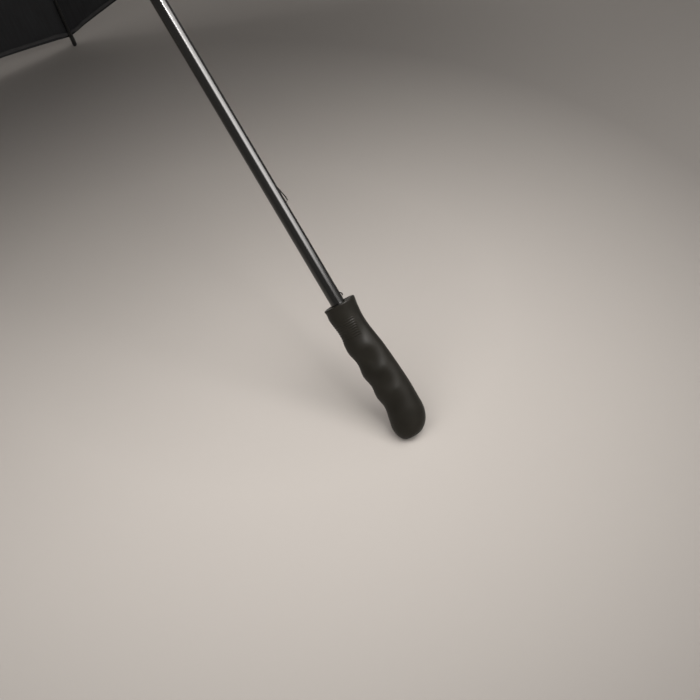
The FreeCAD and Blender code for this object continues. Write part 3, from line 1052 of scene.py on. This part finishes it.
def floor_axes():
    """Level directions on the floor: towards the camera, and to its right."""
    near = (VIEW_BACK - FLOOR_UP * VIEW_BACK.dot(FLOOR_UP)).normalized()
    return near, near.cross(FLOOR_UP) * -1


NEAR, RIGHT = floor_axes()
FLOOR_POINT = FLOOR_UP * FLOOR_LEVEL


def on_floor(right, near, high):
    return FLOOR_POINT + RIGHT * right + NEAR * near + FLOOR_UP * high


FLOOR_RADIUS = 2.3
# The painted pool of light is brightest at the disc's middle, set off to the left and
# away.
FLOOR_CENTRE = (-0.17, -0.2)  # right and near
FLOOR_SIDES = 96
FLOOR_TINT = (1, 0.94, 0.885)
# A pool of light painted into the floor's colour: pale in the middle, darker grey outward.
PAINTED_LIGHT_POOL = ((0.0, 0.72), (0.12, 0.6), (0.27, 0.29), (0.5, 0.24))  # share of radius, grey
RIM_FADE = (0.72, 0.99)  # the shares of the radius between which the disc fades out


def floor_material():
    """A painted pool of light on grey: pale in the middle, darker outward. It fades at the
    rim and is clear from behind.
    """
    material = new_material(
        "studio_floor", (0.62, 0.575, 0.54), 0.9, Specular_IOR_Level=0.1
    )
    nodes = material.node_tree.nodes
    shader = nodes["Principled BSDF"]
    place = add_node(material, "ShaderNodeTexCoord")
    length = add_node(material, "ShaderNodeVectorMath", operation="LENGTH")
    join(material, place.outputs["Object"], length.inputs[0])
    distance = length.outputs["Value"]
    share = combine(material, "DIVIDE", distance, FLOOR_RADIUS)
    # The floor's colour carries the painted pool of light, tinted warm.
    stops = [(at, tuple(grey * tint for tint in FLOOR_TINT)) for at, grey in PAINTED_LIGHT_POOL]
    join(material, ramp(material, share, stops), shader.inputs["Base Color"])
    fade = add_node(material, "ShaderNodeMapRange", interpolation_type="SMOOTHSTEP")
    fade.inputs["From Min"].default_value = RIM_FADE[0] * FLOOR_RADIUS
    fade.inputs["From Max"].default_value = RIM_FADE[1] * FLOOR_RADIUS
    join(material, distance, fade.inputs["Value"])
    behind = add_node(material, "ShaderNodeNewGeometry").outputs["Backfacing"]
    hidden = combine(material, "MAXIMUM", fade.outputs["Result"], behind)
    clear = add_node(material, "ShaderNodeBsdfTransparent")
    mix = add_node(material, "ShaderNodeMixShader")
    for source, socket in zip((hidden, shader.outputs[0], clear.outputs[0]), mix.inputs):
        join(material, source, socket)
    join(material, mix.outputs[0], nodes["Material Output"].inputs["Surface"])
    return material


def make_floor():
    verts = [Vector((0, 0, 0))]
    for step in range(FLOOR_SIDES):
        turn = 2 * math.pi * step / FLOOR_SIDES
        verts.append(Vector((math.cos(turn), math.sin(turn), 0)) * FLOOR_RADIUS)
    faces = [(0, i + 1, (i + 1) % FLOOR_SIDES + 1) for i in range(FLOOR_SIDES)]
    floor = make_piece("studio_floor", verts, faces, floor_material())
    axes = Matrix((RIGHT, FLOOR_UP.cross(RIGHT), FLOOR_UP)).transposed()
    floor.matrix_world = Matrix.Translation(on_floor(*FLOOR_CENTRE, 0)) @ axes.to_4x4()


make_floor()


LAMP_COLOUR = (1, 0.97, 0.94)
SKY_COLOUR = (0.8, 0.775, 0.75, 1)
SKY_STRENGTH = 0.3


def area_light(name, place, aim, size, power):
    data = bpy.data.lights.new(name, "AREA")
    data.shape = "RECTANGLE"
    data.size, data.size_y = size
    data.energy = power
    data.color = LAMP_COLOUR
    light = bpy.data.objects.new(name, data)
    back = (place - aim).normalized()
    light.matrix_world = (
        Matrix.Translation(place) @ back.to_track_quat("Z", "Y").to_matrix().to_4x4()
    )
    light.visible_camera = False
    bpy.context.scene.collection.objects.link(light)
    return light


def round_shaft(azimuth, distance, height):
    """A place beside the shaft, azimuth degrees to the right of the camera."""
    turn = math.radians(azimuth)
    return Vector((distance * math.sin(turn), -distance * math.cos(turn), height))


KEY_PLACE = on_floor(0.55, 0.3, 1.5)
FILL_PLACE = on_floor(-0.8, 1.1, 2.2)
GLINT_PLACE = round_shaft(34, 1.75, 1.1)
PANEL_PLACE = round_shaft(58, 1.7, 0.7)
PANEL_AIM = round_shaft(0, 0, 0.7)


def make_lights():
    """Key and fill light the scene. Glint and panel show only as highlights."""
    area_light("key", KEY_PLACE, AIM, (1.2, 1.2), 14)
    glint = area_light("glint", GLINT_PLACE, AIM, (0.4, 0.4), 85)
    panel = area_light("panel", PANEL_PLACE, PANEL_AIM, (1.9, 1.1), 38)
    fill = area_light("fill", FILL_PLACE, AIM, (2.8, 2.4), 58)
    fill.visible_glossy = False
    for light in (glint, panel):
        light.visible_diffuse = False
    world = bpy.data.worlds.new("studio")
    world.use_nodes = True
    shade = world.node_tree.nodes["Background"]
    shade.inputs["Color"].default_value = SKY_COLOUR
    shade.inputs["Strength"].default_value = SKY_STRENGTH
    bpy.context.scene.world = world
    bpy.context.scene.view_settings.view_transform = "Standard"


make_lights()
